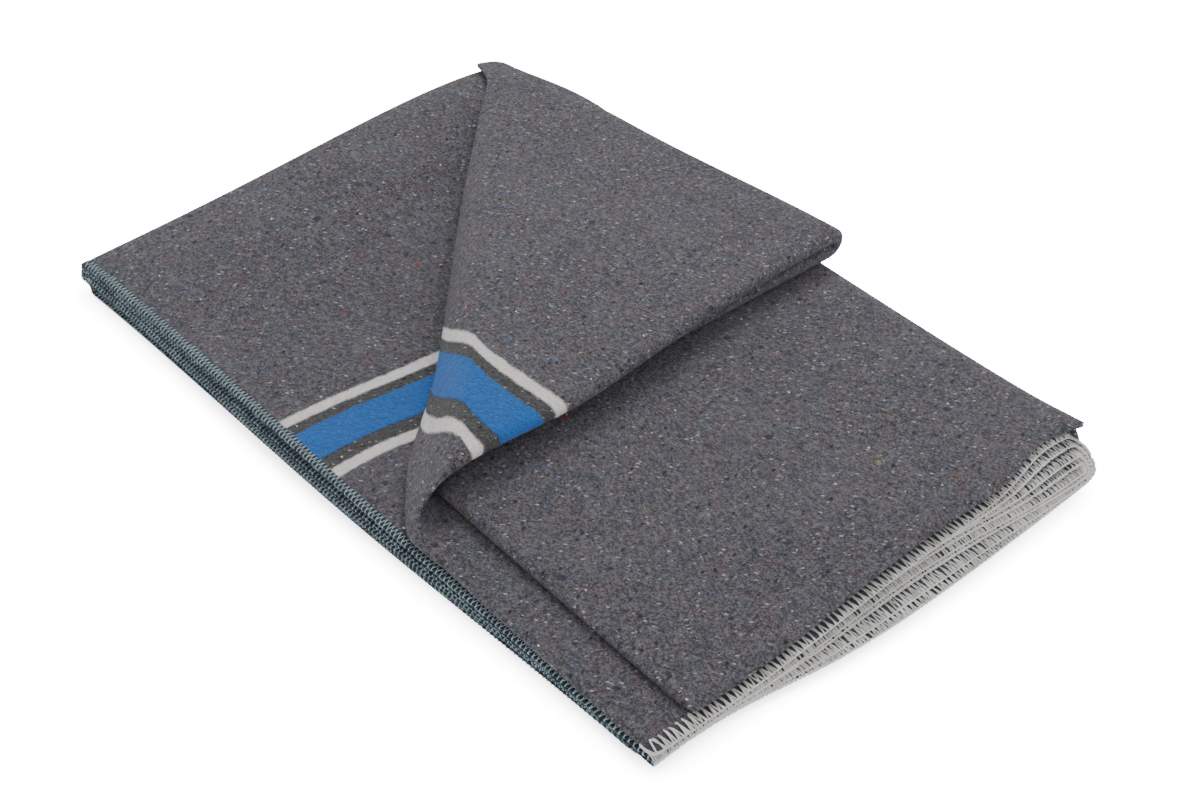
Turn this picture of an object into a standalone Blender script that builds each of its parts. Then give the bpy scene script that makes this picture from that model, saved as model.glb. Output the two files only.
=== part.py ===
"""A moving blanket of felted cloth, folded in half four times, with one top corner turned over.

Units are metres and +Z is up. The blanket lies on its broad side, and the origin is at the
middle of the folded pack, on the surface that it lies on. It is one sheet and so one solid.
The sheet is made flat, and each fold then turns a part of it up and over onto the rest, which
gives sixteen layers that are joined at their creases, as in the real folded blanket.

Across the finished pack, +X points to the end with the bound edges and +Y to the back crease.
"""

import math
from collections import namedtuple

import bmesh
import bpy
from mathutils import Vector

# The blanket laid out flat
LENGTH = 2.00
WIDTH = 1.32
SHEET = 0.0020
AIR = 0.0006

# How far the creases stay back from the bound edges in the pack
END_SETBACK = 0.018
SIDE_SETBACK = 0.027

# The turned corner's crease: the way it runs, and how far from the pack's corner it starts
CORNER_ANGLE = math.radians(46.7)
CORNER_PIVOT = 0.163

# The turned corner lies a little clear of the layers under it. Its layers slid as they were
# turned, so past its crease it comes to reach a little further than its plain length
CORNER_AIR = 0.003
CORNER_REACH = 0.013
CORNER_EASE = 0.06

# The bundle under the top one was folded askew, so it reaches nearly to the open side, by
# this much more, and all of it from this share of the pack's length on. It lies a little
# thinner there
ASKEW = 0.0285
ASKEW_SHARE = 0.8
ASKEW_THINNING = 0.12

# The loft of the lower layers where the turned corner's crease meets the back crease: its
# height, how far it reaches along the pack, and how much it flattens the layers above it
LOFT = 0.0434
LOFT_REACH = 0.173
LOFT_SQUEEZE = 0.76

# Subdivision of the folded pack, the same in every layer, so that it can lie unevenly
LENGTH_CELLS = 8
WIDTH_CELLS = 5

# Facets around each crease, from the first fold to the turned corner
FIRST_STEPS = 2
SECOND_STEPS = 4
THIRD_STEPS = 4
LAST_STEPS = 6
CORNER_STEPS = 6

# Cloth colour
CLOTH_COLOUR = (0.095, 0.092, 0.098, 1.0)
CLOTH_ROUGHNESS = 0.95

WELD_DISTANCE = 0.000001

# Where the pack is pressed flatter or stands fuller: a place as a share of the pack's
# length and width, how far the effect reaches in metres, and how much height it adds
Press = namedtuple("Press", "along across reach gain")
PRESSES = (
    Press(1.00, 0.0, 0.22, -0.54),
    Press(0.75, 0.0, 0.16, 0.05),
    Press(0.45, 0.0, 0.16, 0.14),
    Press(0.20, 0.0, 0.14, 0.03),
    Press(0.00, 0.0, 0.12, 0.05),
    Press(0.50, 0.5, 0.25, 0.03),
)

# How the layers slide over one another at the open side and end: the height of the slid
# layers, how far they reach past the rest, and a slow wave along the edge
Slide = namedtuple("Slide", "height spread out wave waves turn")
SIDE_SLIDES = (
    Slide(0.003, 0.0030, 0.0012, 0.0030, 1.1, -2.2),
    Slide(0.009, 0.0030, 0.0025, 0.0030, 1.2, -1.9),
    Slide(0.019, 0.0030, 0.0030, 0.0015, 1.2, 4.0),
)
END_SLIDES = (
    Slide(0.004, 0.0040, 0.0030, 0.0090, 0.5, 1.6),
    Slide(0.012, 0.0022, 0.0020, 0.0040, 0.8, -1.3),
    Slide(0.024, 0.0040, -0.0090, 0.0050, 1.0, 1.6),
    Slide(0.038, 0.0040, 0.0115, 0.0040, 0.5, 1.6),
)
SLIDE_DEPTH = 0.05

# Where the pack is drawn aside at last: a place as a share of its length and width and as a
# height, how far the effect reaches each way, and the move
Pull = namedtuple("Pull", "along across height reach move")
PULLS = (
    Pull(0.04, 1.01, 0.060, (0.05, 0.05, 0.060), (0.0, -0.0145, -0.004)),
    Pull(0.06, 0.80, 0.040, (0.06, 0.16, 0.030), (-0.0005, 0.0045, 0.007)),
    Pull(0.57, 0.99, 0.060, (0.12, 0.09, 0.022), (0.002, 0.009, 0.0)),
    Pull(0.62, 0.11, 0.028, (0.10, 0.04, 0.016), (0.0, -0.005, -0.002)),
    Pull(0.30, 0.10, 0.045, (0.10, 0.08, 0.025), (0.004, 0.002, -0.004)),
)


def clear_scene():
    """Removes every object that the file starts with."""
    for item in list(bpy.data.objects):
        bpy.data.objects.remove(item, do_unlink=True)


def smooth_share(value):
    """Eases a share from 0 to 1."""
    value = min(max(value, 0.0), 1.0)
    return value * value * (3.0 - 2.0 * value)


def stack_height(folds):
    """Gives the height of the layers after so many folds in half."""
    return SHEET * 2 ** folds + AIR * (2 ** folds - 1)


def crease_length(folds):
    """Gives the cloth that goes round a crease in layers already folded so many times."""
    return math.pi * (stack_height(folds) + AIR) / 2.0


def score(mesh, faces, point, normal):
    """Adds edges where a plane crosses some faces, so that they can bend there."""
    edges = {edge for face in faces for edge in face.edges}
    verts = {vert for face in faces for vert in face.verts}
    geometry = list(verts) + list(edges) + list(faces)
    bmesh.ops.bisect_plane(mesh, geom=geometry, dist=WELD_DISTANCE, plane_co=point, plane_no=normal)


def flat_sheet(mesh):
    """Makes the flat blanket with its near corner at the origin."""
    bmesh.ops.create_cube(mesh, size=1.0)
    bmesh.ops.translate(mesh, verts=mesh.verts, vec=(0.5, 0.5, 0.5))
    bmesh.ops.scale(mesh, verts=mesh.verts, vec=(LENGTH, WIDTH, SHEET))


def score_cells(mesh):
    """Adds the same grid of edges to every layer of the folded pack."""
    low, high = pack_size(mesh)
    size = high - low
    for cell in range(1, LENGTH_CELLS):
        place = (low.x + size.x * cell / LENGTH_CELLS, 0.0, 0.0)
        score(mesh, mesh.faces[:], place, (1.0, 0.0, 0.0))
    for cell in range(1, WIDTH_CELLS):
        place = (0.0, low.y + size.y * cell / WIDTH_CELLS, 0.0)
        score(mesh, mesh.faces[:], place, (0.0, 1.0, 0.0))


def fold_over(mesh, turned, toward, line, base, folds, steps, air=AIR, reach=0.0):
    """Turns the cloth past a line up and over onto the rest.

    The mesh layer named turned holds, for each vertex, how much of it takes part, and it
    is set to how far each vertex has gone over. The layers stand on base, have been
    folded so many times before, and bend about an axis just over their top. The air is
    what is left between the turned part and the rest, and reach is how much further than
    its plain length the turned part comes to lie.
    """
    axis = base + stack_height(folds) + air / 2.0
    arc = crease_length(folds)
    for step in range(steps + 1):
        faces = [face for face in mesh.faces if all(vert[turned] > 0.0 for vert in face.verts)]
        score(mesh, faces, toward * (line + arc * step / steps), toward)
    for vert in mesh.verts:
        past = vert.co.dot(toward) - line
        weight = smooth_share(vert[turned])
        vert[turned] = 0.0
        if past <= 0.0 or weight <= 0.0:
            continue
        radius = axis - vert.co.z
        angle = math.pi * min(past / arc, 1.0)
        beyond = max(past - arc, 0.0)
        along = radius * math.sin(angle) - beyond - reach * smooth_share(beyond / CORNER_EASE)
        rise = axis - radius * math.cos(angle) - vert.co.z
        vert.co += toward * (along - past) * weight
        vert.co.z += rise * weight
        vert[turned] = angle / math.pi


def take_all(mesh, turned):
    """Lets every vertex take part in the next fold."""
    for vert in mesh.verts:
        vert[turned] = 1.0


def fold_blanket(mesh):
    """Folds the flat sheet in half four times and turns the top corner over."""
    turned = mesh.verts.layers.float.new("turned")
    forward = Vector((1.0, 0.0, 0.0))
    sideways = Vector((0.0, 1.0, 0.0))

    take_all(mesh, turned)
    first_line = (LENGTH - crease_length(0)) / 2.0
    fold_over(mesh, turned, forward, first_line, 0.0, 0, FIRST_STEPS)

    take_all(mesh, turned)
    second_line = (WIDTH - crease_length(1)) / 2.0
    fold_over(mesh, turned, sideways, second_line, 0.0, 1, SECOND_STEPS)

    take_all(mesh, turned)
    first_crease = first_line + stack_height(0) + AIR / 2.0
    third_line = (first_crease + END_SETBACK + crease_length(2)) / 2.0
    fold_over(mesh, turned, -forward, -third_line, 0.0, 2, THIRD_STEPS)
    third_crease = third_line - stack_height(2) - AIR / 2.0

    take_all(mesh, turned)
    second_crease = second_line + stack_height(1) + AIR / 2.0
    last_line = (SIDE_SETBACK + second_crease - crease_length(3)) / 2.0
    fold_over(mesh, turned, sideways, last_line, 0.0, 3, LAST_STEPS)

    score_cells(mesh)
    skew_bundle(mesh, third_crease, last_line)
    slanted = Vector((-math.cos(CORNER_ANGLE), -math.sin(CORNER_ANGLE), 0.0))
    start = Vector((third_crease + CORNER_PIVOT, last_line - CORNER_PIVOT, 0.0))
    line = start.dot(slanted) - crease_length(3) / 2.0
    base = stack_height(3) + AIR
    fold_over(mesh, turned, slanted, line, base, 3, CORNER_STEPS, CORNER_AIR, CORNER_REACH)


def skew_bundle(mesh, start, back):
    """Stretches the bundle under the top one towards the open side, more and more from start."""
    low = stack_height(3) + AIR / 2.0
    high = low + stack_height(2) + AIR
    middle = (low + high) / 2.0
    for vert in mesh.verts:
        if low < vert.co.z < high:
            along = (vert.co.x - start) / (LENGTH / 4.0) / ASKEW_SHARE
            near = max(back - vert.co.y, 0.0) / (back - SIDE_SETBACK)
            share = smooth_share(along) * near
            vert.co.y -= ASKEW * share
            vert.co.z += (middle - vert.co.z) * ASKEW_THINNING * share


def pack_size(mesh):
    """Gives the lowest and highest corners of the folded pack."""
    low = Vector([min(vert.co[axis] for vert in mesh.verts) for axis in range(3)])
    high = Vector([max(vert.co[axis] for vert in mesh.verts) for axis in range(3)])
    return low, high


def slide_amount(slides, height, share):
    """Gives how far a point at a height reaches out, at a share of the edge's length."""
    total = 0.0
    for row in slides:
        near = math.exp(-((height - row.height) / row.spread) ** 2)
        wave = row.wave * math.sin(2.0 * math.pi * row.waves * share + row.turn)
        total += near * (row.out + wave)
    return total


def slide_layers(mesh, low, high):
    """Slides the layers a little at the open side and at the open end."""
    size = high - low
    for vert in mesh.verts:
        along = (vert.co.x - low.x) / size.x
        across = (vert.co.y - low.y) / size.y
        side = smooth_share(1.0 - (vert.co.y - low.y) / SLIDE_DEPTH)
        end = smooth_share(1.0 - (high.x - vert.co.x) / SLIDE_DEPTH)
        vert.co.y -= side * slide_amount(SIDE_SLIDES, vert.co.z, along)
        vert.co.x += end * slide_amount(END_SLIDES, vert.co.z, across)


def loft_pack(mesh, low, high):
    """Lifts the lower layers apart near the back crease's near end, and all above with them."""
    size = high - low
    bundle = stack_height(3)
    pitch = SHEET + AIR
    layers = 2 ** 3 - 1
    for vert in mesh.verts:
        across = (vert.co.y - low.y) / size.y
        near = math.exp(-((vert.co.x - low.x) / LOFT_REACH) ** 2)
        rise = LOFT * across * near
        whole = math.floor(vert.co.z / pitch)
        part = max(vert.co.z - whole * pitch - SHEET, 0.0) / AIR
        share = min((whole + part) / layers, 1.0)
        above = max(vert.co.z - bundle, 0.0)
        vert.co.z += rise * share - above * LOFT_SQUEEZE * rise / LOFT


def press_pack(mesh, low, high):
    """Presses the pack flatter in some places and leaves it fuller in others."""
    size = high - low
    for vert in mesh.verts:
        gain = 1.0
        for row in PRESSES:
            from_x = vert.co.x - low.x - row.along * size.x
            from_y = vert.co.y - low.y - row.across * size.y
            gain += row.gain * math.exp(-(from_x ** 2 + from_y ** 2) / row.reach ** 2)
        vert.co.z *= gain


def pull_pack(mesh, low, high):
    """Draws some places of the pack aside."""
    size = high - low
    for row in PULLS:
        place = Vector((low.x + row.along * size.x, low.y + row.across * size.y, row.height))
        for vert in mesh.verts:
            away = [gap / reach for gap, reach in zip(vert.co - place, row.reach)]
            vert.co += Vector(row.move) * math.exp(-sum(gap * gap for gap in away))


def split_faces(mesh):
    """Makes triangles, and splits the four-sided faces of every layer the same way."""
    for face in [face for face in mesh.faces if len(face.verts) == 4]:
        ends = sorted(face.verts, key=lambda vert: vert.co.x + vert.co.y)
        if not any(ends[0] in edge.verts and ends[3] in edge.verts for edge in face.edges):
            bmesh.utils.face_split(face, ends[0], ends[3])
    bmesh.ops.triangulate(mesh, faces=mesh.faces[:])


def centre_pack(mesh):
    """Puts the origin at the middle of the pack, on the surface that it lies on."""
    low, high = pack_size(mesh)
    middle = (low + high) / 2.0
    bmesh.ops.translate(mesh, verts=mesh.verts, vec=(-middle.x, -middle.y, -low.z))


def cloth_material():
    """Makes the plain material of the felted cloth."""
    material = bpy.data.materials.new("grey_felt")
    material.use_nodes = True
    shader = material.node_tree.nodes["Principled BSDF"]
    shader.inputs["Base Color"].default_value = CLOTH_COLOUR
    shader.inputs["Roughness"].default_value = CLOTH_ROUGHNESS
    shader.inputs["Metallic"].default_value = 0.0
    return material


def make_blanket():
    """Builds the folded blanket as one object."""
    mesh = bmesh.new()
    flat_sheet(mesh)
    fold_blanket(mesh)
    low, high = pack_size(mesh)
    slide_layers(mesh, low, high)
    loft_pack(mesh, low, high)
    press_pack(mesh, low, high)
    pull_pack(mesh, low, high)
    centre_pack(mesh)
    split_faces(mesh)
    bmesh.ops.recalc_face_normals(mesh, faces=mesh.faces[:])
    data = bpy.data.meshes.new("blanket")
    mesh.to_mesh(data)
    mesh.free()
    data.shade_smooth()
    data.set_sharp_from_angle(angle=math.radians(50.0))
    data.materials.append(cloth_material())
    blanket = bpy.data.objects.new("blanket", data)
    bpy.context.scene.collection.objects.link(blanket)
    return blanket


def main():
    """Clears the scene and builds the blanket."""
    clear_scene()
    make_blanket()


main()
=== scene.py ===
"""Dresses the folded moving blanket: felted cloth, dyed stripes and overlocked edges.

Every piece is made on the flat blanket and then follows it through its folds: in half four
times, then one top corner over on the diagonal. The fold sizes repeat those of the part.
Units are metres, +Z is up, and the origin is under the middle of the folded pack.
"""

import logging
import math
from dataclasses import dataclass, field
from enum import Enum

import bmesh
import bpy
import numpy as np
from mathutils import Matrix, Vector


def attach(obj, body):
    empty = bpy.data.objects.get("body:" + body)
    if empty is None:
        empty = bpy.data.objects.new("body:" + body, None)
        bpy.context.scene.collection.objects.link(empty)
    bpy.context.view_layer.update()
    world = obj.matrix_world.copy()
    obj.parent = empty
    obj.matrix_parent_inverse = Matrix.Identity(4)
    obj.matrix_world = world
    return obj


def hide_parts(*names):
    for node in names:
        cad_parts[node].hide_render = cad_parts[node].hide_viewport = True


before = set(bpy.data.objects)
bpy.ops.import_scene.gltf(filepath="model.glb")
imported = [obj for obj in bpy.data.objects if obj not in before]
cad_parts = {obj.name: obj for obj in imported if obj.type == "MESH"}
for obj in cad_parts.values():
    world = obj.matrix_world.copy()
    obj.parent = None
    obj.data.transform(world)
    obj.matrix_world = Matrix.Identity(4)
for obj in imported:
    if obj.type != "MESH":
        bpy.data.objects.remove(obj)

LOG = logging.getLogger("blanket")
FLAT = "flat"
TURNED = "turned"
# The attribute with each thread strand's share of painted shade (on the long sides' chain partly its
# darker thread).
STRAND_SHADE_AND_TONE = "strand_shade_and_tone"
MILLIMETRES = 1000.0
SNAP = 1e-6
TINY = 1e-9

Pair = tuple[float, float]
Triple = tuple[float, float, float]
Colour = Triple
BMesh = bmesh.types.BMesh


def added(name: str, data: bpy.types.ID) -> bpy.types.Object:
    """Puts an object with its data into the scene.

    Args:
        name: The object's name.
        data: Its mesh, light or camera.

    Returns:
        The object.
    """
    piece = bpy.data.objects.new(name, data)
    bpy.context.scene.collection.objects.link(piece)
    return piece


class Edge(Enum):
    """The four cut edges of the flat blanket."""

    FIRST_END = "first_end"
    SECOND_END = "second_end"
    FIRST_SIDE = "first_side"
    SECOND_SIDE = "second_side"

    @property
    def is_end(self) -> bool:
        """Tells a short end from a long side."""
        return self in (Edge.FIRST_END, Edge.SECOND_END)

    @property
    def is_far(self) -> bool:
        """Tells the edge that lies away from the flat blanket's origin."""
        return self in (Edge.SECOND_END, Edge.SECOND_SIDE)


@dataclass(frozen=True)
class Slide:
    """How the layers round one height reach out at an open edge of the pack."""

    height: float
    spread: float
    out: float
    wave: float
    waves: float
    turn: float

    def amount(self, height: np.ndarray, share: np.ndarray) -> np.ndarray:
        """Gives how far points reach out, by their heights and their shares along the edge."""
        near = np.exp(-(((height - self.height) / self.spread) ** 2))
        return near * (self.out + self.wave * np.sin(2.0 * math.pi * self.waves * share + self.turn))


@dataclass(frozen=True)
class Press:
    """A place where the pack is pressed flatter or stands fuller."""

    along: float
    across: float
    reach: float
    gain: float


@dataclass(frozen=True)
class Pull:
    """A place of the pack that is drawn a little aside at last."""

    along: float
    across: float
    height: float
    reach: Triple
    move: Triple

    def apply(self, points: np.ndarray, low: np.ndarray, size: np.ndarray) -> np.ndarray:
        """Draws the points near the place aside.

        Args:
            points: The pressed points.
            low: The folded pack's lowest corner.
            size: The folded pack's size.

        Returns:
            The moved points.
        """
        place = (low[0] + self.along * size[0], low[1] + self.across * size[1], self.height)
        away = (points - np.array(place)) / np.array(self.reach)
        near = np.exp(-(away**2).sum(axis=1))
        return points + near[:, None] * np.array(self.move)


@dataclass(frozen=True)
class Fold:
    """One fold: the cloth past a line is turned up and over onto the rest."""

    toward: Pair
    line: float
    base: float
    layers_high: float
    air: float
    reach: float = 0.0
    ease: float = 0.06

    @property
    def arc(self) -> float:
        """Gives the cloth that goes round the crease."""
        return math.pi * (self.layers_high + Folding.air) / 2.0

    def past(self, points: np.ndarray) -> np.ndarray:
        """Gives how far points lie past the line."""
        return points[:, 0] * self.toward[0] + points[:, 1] * self.toward[1] - self.line

    def turn(self, points: np.ndarray, turned: np.ndarray) -> tuple[np.ndarray, np.ndarray]:
        """Turns the points past the line over.

        Args:
            points: The points before the fold.
            turned: How much of each point takes part, from 0 to 1.

        Returns:
            The points after the fold, and how far each of them went over.
        """
        axis = self.base + self.layers_high + self.air / 2.0
        past = self.past(points)
        weight = eased(turned)
        radius = axis - points[:, 2]
        angle = math.pi * np.clip(past / self.arc, 0.0, 1.0)
        beyond = np.maximum(past - self.arc, 0.0)
        along = radius * np.sin(angle) - beyond - self.reach * eased(beyond / self.ease)
        rise = axis - radius * np.cos(angle) - points[:, 2]
        moves = (past > 0.0) & (weight > 0.0)
        share = np.where(moves, weight, 0.0)
        moved = points.copy()
        moved[:, 0] += self.toward[0] * (along - past) * share
        moved[:, 1] += self.toward[1] * (along - past) * share
        moved[:, 2] += rise * share
        return moved, np.where(moves, angle / math.pi, 0.0)


def eased(value: np.ndarray) -> np.ndarray:
    """Eases shares from 0 to 1."""
    value = np.clip(value, 0.0, 1.0)
    return value * value * (3.0 - 2.0 * value)


@dataclass
class Folding:
    """The way the flat blanket is folded and how its layers settle."""

    length: float = 2.00
    width: float = 1.32
    sheet: float = 0.0020
    air: float = 0.0006
    end_setback: float = 0.018
    side_setback: float = 0.0272
    corner_angle: float = math.radians(46.64)
    corner_pivot: float = 0.1523
    corner_air: float = 0.003
    corner_reach: float = 0.012
    corner_crimp: float = 0.32
    corner_crimp_reach: float = 0.015
    corner_crimp_run: float = 0.25
    corner_tip_crimp: float = 0.45
    corner_tip_reach: float = 0.008
    corner_tip_run: float = 0.080
    corner_stretch: float = 0.030
    corner_stretch_reach: float = 0.026
    corner_stretch_power: float = 3.0
    askew: float = 0.0286
    askew_share: float = 0.8
    askew_thinning: float = 0.12
    loft: float = 0.0387
    loft_reach: float = 0.178
    loft_squeeze: float = 0.76
    slide_depth: float = 0.05
    side_slides: tuple[Slide, ...] = (
        Slide(0.003, 0.0030, -0.0004, 0.0030, 1.1, -2.2),
        Slide(0.009, 0.0030, 0.0033, 0.0030, 1.2, -1.9),
        Slide(0.019, 0.0030, 0.0033, 0.0015, 1.2, 4.0),
    )
    end_slides: tuple[Slide, ...] = (
        Slide(0.010, 0.0180, 0.0055, 0.0055, 0.5, 1.57),
        Slide(0.004, 0.0040, -0.0001, 0.0073, 0.5, 1.6),
        Slide(0.012, 0.0022, 0.0007, 0.0035, 0.8, -1.3),
        Slide(0.0175, 0.0040, -0.0045, 0.0045, 1.0, 1.6),
        Slide(0.024, 0.0040, -0.0088, 0.0050, 1.0, 1.6),
        Slide(0.0295, 0.0030, -0.0060, 0.0060, 0.5, 1.6),
        Slide(0.038, 0.0040, 0.0165, 0.0065, 1.0, 0.82),
    )
    presses: tuple[Press, ...] = (
        Press(1.00, 0.0, 0.22, -0.60),
        Press(0.75, 0.0, 0.16, 0.08),
        Press(0.45, 0.0, 0.16, 0.20),
        Press(0.20, 0.0, 0.14, 0.08),
        Press(0.00, 0.0, 0.12, 0.045),
        Press(1.00, 1.0, 0.15, -0.02),
        Press(0.50, 0.5, 0.25, 0.037),
    )
    pulls: tuple[Pull, ...] = (
        Pull(0.04, 1.01, 0.060, (0.05, 0.05, 0.060), (0.0, -0.032, -0.007)),
        Pull(0.57, 0.99, 0.060, (0.12, 0.09, 0.022), (0.0004, 0.0089, 0.0007)),
        Pull(0.62, 0.11, 0.028, (0.10, 0.04, 0.016), (-0.0078, -0.0035, -0.0008)),
        Pull(0.30, 0.10, 0.045, (0.10, 0.08, 0.025), (0.0022, 0.0033, -0.0049)),
        Pull(0.06, 0.80, 0.040, (0.06, 0.16, 0.030), (-0.001, 0.0118, 0.0174)),
        Pull(1.00, 1.00, 0.038, (0.035, 0.035, 0.020), (-0.006, 0.0, 0.003)),
        Pull(1.00, 0.88, 0.038, (0.050, 0.032, 0.014), (-0.014, 0.0, 0.0)),
        Pull(1.00, 0.12, 0.006, (0.050, 0.070, 0.004), (-0.010, 0.0, 0.0)),
        Pull(0.97, 0.87, 0.0275, (0.060, 0.035, 0.0050), (0.0, 0.0, 0.0030)),
        Pull(0.97, 0.87, 0.0175, (0.060, 0.035, 0.0050), (0.0, 0.0, -0.0025)),
        Pull(0.04, 0.85, 0.0740, (0.030, 0.030, 0.0065), (0.006, 0.003, 0.0)),
    )
    rim_depth: float = 0.006
    rim_share: float = 0.6
    skin_share: float = 0.45
    low: np.ndarray = field(init=False)
    high: np.ndarray = field(init=False)
    middle: np.ndarray = field(init=False)

    def stack(self, folds: int) -> float:
        """Gives the height of the layers after so many folds in half."""
        return self.sheet * 2**folds + self.air * (2**folds - 1)

    def crease(self, folds: int) -> float:
        """Gives the cloth that goes round a crease in layers folded so many times."""
        return math.pi * (self.stack(folds) + self.air) / 2.0

    def halves(self) -> list[Fold]:
        """Gives the four folds in half, in order.

        Returns:
            The folds.
        """
        first = (self.length - self.crease(0)) / 2.0
        second = (self.width - self.crease(1)) / 2.0
        first_crease = first + self.stack(0) + self.air / 2.0
        third = (first_crease + self.end_setback + self.crease(2)) / 2.0
        second_crease = second + self.stack(1) + self.air / 2.0
        last = (self.side_setback + second_crease - self.crease(3)) / 2.0
        return [
            Fold((1.0, 0.0), first, 0.0, self.stack(0), self.air),
            Fold((0.0, 1.0), second, 0.0, self.stack(1), self.air),
            Fold((-1.0, 0.0), -third, 0.0, self.stack(2), self.air),
            Fold((0.0, 1.0), last, 0.0, self.stack(3), self.air),
        ]

    def third_crease(self) -> float:
        """Gives where the third fold's crease lies along the pack."""
        return -self.halves()[2].line - self.stack(2) - self.air / 2.0

    def corner(self) -> Fold:
        """Gives the fold that turns the top corner over on the diagonal.

        Returns:
            The fold.
        """
        along = self.third_crease() + self.corner_pivot
        across = self.halves()[3].line - self.corner_pivot
        toward = (-math.cos(self.corner_angle), -math.sin(self.corner_angle))
        line = toward[0] * along + toward[1] * across - self.crease(3) / 2.0
        base = self.stack(3) + self.air
        return Fold(toward, line, base, self.stack(3), self.corner_air, self.corner_reach)

    def fold_square(self, points: np.ndarray) -> tuple[np.ndarray, np.ndarray]:
        """Folds flat points in half four times.

        Args:
            points: Points of the flat blanket.

        Returns:
            The folded points, and how far each went over in the last fold.
        """
        turned = np.ones(len(points))
        for fold in self.halves():
            points, turned = fold.turn(points, np.ones(len(points)))
        return self._skew(points), turned

    def _skew(self, points: np.ndarray) -> np.ndarray:
        """Stretches the bundle under the top one towards the open side.

        Args:
            points: Points of the square pack.

        Returns:
            The points, those of that bundle nearer to the open side and a little thinner.
        """
        low = self.stack(3) + self.air / 2.0
        high = low + self.stack(2) + self.air
        middle = (low + high) / 2.0
        back = self.halves()[3].line
        inside = (points[:, 2] > low) & (points[:, 2] < high)
        along = (points[:, 0] - self.third_crease()) / (self.length / 4.0) / self.askew_share
        near = np.maximum(back - points[:, 1], 0.0) / (back - self.side_setback)
        share = eased(along) * near * inside
        points[:, 1] -= self.askew * share
        points[:, 2] += (middle - points[:, 2]) * self.askew_thinning * share
        return points

    def fold_corner(self, points: np.ndarray, turned: np.ndarray) -> np.ndarray:
        """Turns the top corner over.

        Args:
            points: Points of the square pack.
            turned: How far each went over in the last fold.

        Returns:
            The points of the whole folded pack, lower towards that crease.
        """
        corner = self.corner()
        points, _ = corner.turn(points, turned)
        nose = corner.line + corner.layers_high + corner.air / 2.0
        along = points[:, 0] * corner.toward[0] + points[:, 1] * corner.toward[1]
        inward = np.maximum(nose - along, 0.0)
        crimp = self.corner_crimp * np.exp(-((inward / self.corner_crimp_reach) ** 2))
        crimp *= eased(1.0 - points[:, 1] / self.corner_crimp_run)
        tip = self.corner_tip_crimp * np.exp(-((inward / self.corner_tip_reach) ** 2))
        tip *= eased(1.0 - points[:, 1] / self.corner_tip_run)
        points[:, 2] -= (crimp + tip) * (turned > 0.0) * np.maximum(points[:, 2] - corner.base, 0.0)
        return points

    def stretch(self, points: np.ndarray, turned: np.ndarray) -> np.ndarray:
        """Gives how far the stripes of the turned corner are drawn towards the short end.

        Args:
            points: Points of the square pack.
            turned: How far each went over in the last fold.

        Returns:
            The distance of each point's pattern from its plain place.
        """
        past = np.maximum(self.corner().past(points), 0.0) * (turned > 0.0)
        share = (past / self.corner_stretch_reach) ** self.corner_stretch_power
        return self.corner_stretch * (1.0 - np.exp(-share))

    def measure(self, points: np.ndarray) -> None:
        """Notes the folded pack's corners, and then where its middle settles.

        Args:
            points: Points of the folded pack.
        """
        self.low = points.min(axis=0)
        self.high = points.max(axis=0)
        self.middle = np.zeros(3)
        settled = self.settle(points)
        low, high = settled.min(axis=0), settled.max(axis=0)
        self.middle = np.array(((low[0] + high[0]) / 2.0, (low[1] + high[1]) / 2.0, low[2]))

    def settle(self, points: np.ndarray) -> np.ndarray:
        """Slides, lofts, presses and centres folded points.

        Args:
            points: Points of the folded pack.

        Returns:
            The same points where they come to lie.
        """
        points = points.copy()
        size = self.high - self.low
        along = (points[:, 0] - self.low[0]) / size[0]
        across = (points[:, 1] - self.low[1]) / size[1]
        side = eased(1.0 - (points[:, 1] - self.low[1]) / self.slide_depth)
        end = eased(1.0 - (self.high[0] - points[:, 0]) / self.slide_depth)
        points[:, 1] -= side * sum(row.amount(points[:, 2], along) for row in self.side_slides)
        points[:, 0] += end * sum(row.amount(points[:, 2], across) for row in self.end_slides)

        across = (points[:, 1] - self.low[1]) / size[1]
        near = np.exp(-(((points[:, 0] - self.low[0]) / self.loft_reach) ** 2))
        rise = self.loft * across * near
        pitch = self.sheet + self.air
        whole = np.floor(points[:, 2] / pitch)
        part = np.maximum(points[:, 2] - whole * pitch - self.sheet, 0.0) / self.air
        layers_under_bundle = 2**3 - 1
        share = np.minimum((whole + part) / layers_under_bundle, 1.0)
        above = np.maximum(points[:, 2] - self.stack(3), 0.0)
        points[:, 2] += rise * share - above * self.loft_squeeze * rise / self.loft

        gain = np.ones(len(points))
        for row in self.presses:
            from_x = points[:, 0] - self.low[0] - row.along * size[0]
            from_y = points[:, 1] - self.low[1] - row.across * size[1]
            gain += row.gain * np.exp(-(from_x**2 + from_y**2) / row.reach**2)
        points[:, 2] *= gain
        for pull in self.pulls:
            points = pull.apply(points, self.low, size)
        return points - self.middle

    def pinch(self, points: np.ndarray) -> np.ndarray:
        """Thins the flat sheet along its cut edges, where the thread draws it in.

        Args:
            points: Points of the flat blanket.

        Returns:
            The points with their heights drawn in near the edges.
        """
        inset = np.minimum.reduce(
            [points[:, 0], self.length - points[:, 0], points[:, 1], self.width - points[:, 1]]
        )
        share = self.rim_share + (1.0 - self.rim_share) * eased(inset / self.rim_depth)
        thinned = points.copy()
        middle = self.sheet / 2.0
        thinned[:, 2] = middle + (points[:, 2] - middle) * share
        return thinned

    def place(self, points: np.ndarray) -> np.ndarray:
        """Takes flat points to where they lie in the settled pack."""
        square, turned = self.fold_square(points)
        return self.settle(self.fold_corner(square, turned))

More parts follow.
